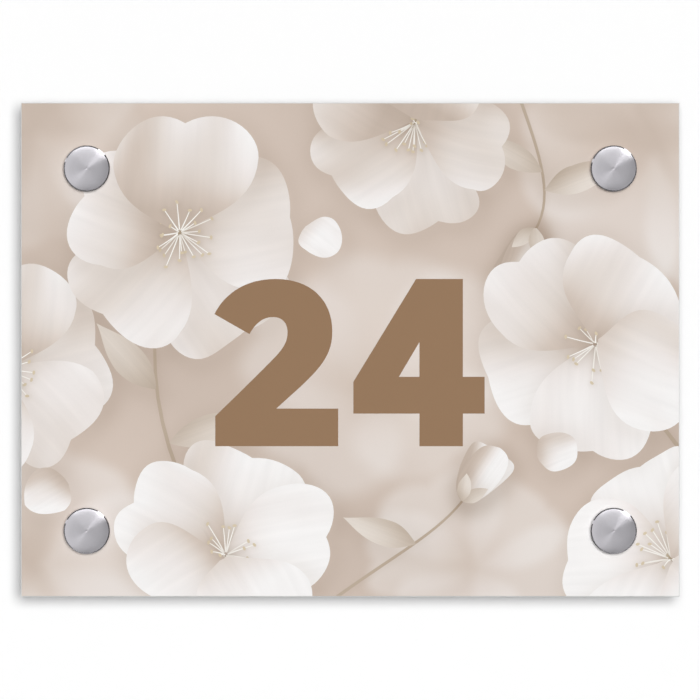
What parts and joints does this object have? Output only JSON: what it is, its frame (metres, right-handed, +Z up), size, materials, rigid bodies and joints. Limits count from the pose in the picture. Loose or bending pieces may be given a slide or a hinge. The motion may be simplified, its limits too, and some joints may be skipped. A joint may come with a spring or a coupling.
{
  "type": "door number plate",
  "caption": "Rectangular printed acrylic door plate held off the wall by turned steel stand-off fixings with round caps at its corners.",
  "frame": {"origin": "centre of the rectangle of wall fixings, on the wall plane", "axes": "+X to the right and +Z up as seen from the front, +Y into the wall; the print faces -Y"},
  "size_m": [0.2, 0.0467, 0.15],
  "materials": {
    "plate": "white acrylic sheet, satin print over the front face",
    "steel": "turned stainless steel with polished edges",
    "washer": "natural translucent plastic",
    "screw": "zinc plated steel"
  },
  "bodies": {
    "root": {"plate": "plate", "cap_upper_left": "steel", "cap_upper_right": "steel", "cap_lower_left": "steel", "cap_lower_right": "steel", "barrel_upper_left": "steel", "barrel_upper_right": "steel", "barrel_lower_left": "steel", "barrel_lower_right": "steel", "front_washers": "washer", "rear_washers": "washer", "wall_screws": "screw"}
  },
  "joints": []
}
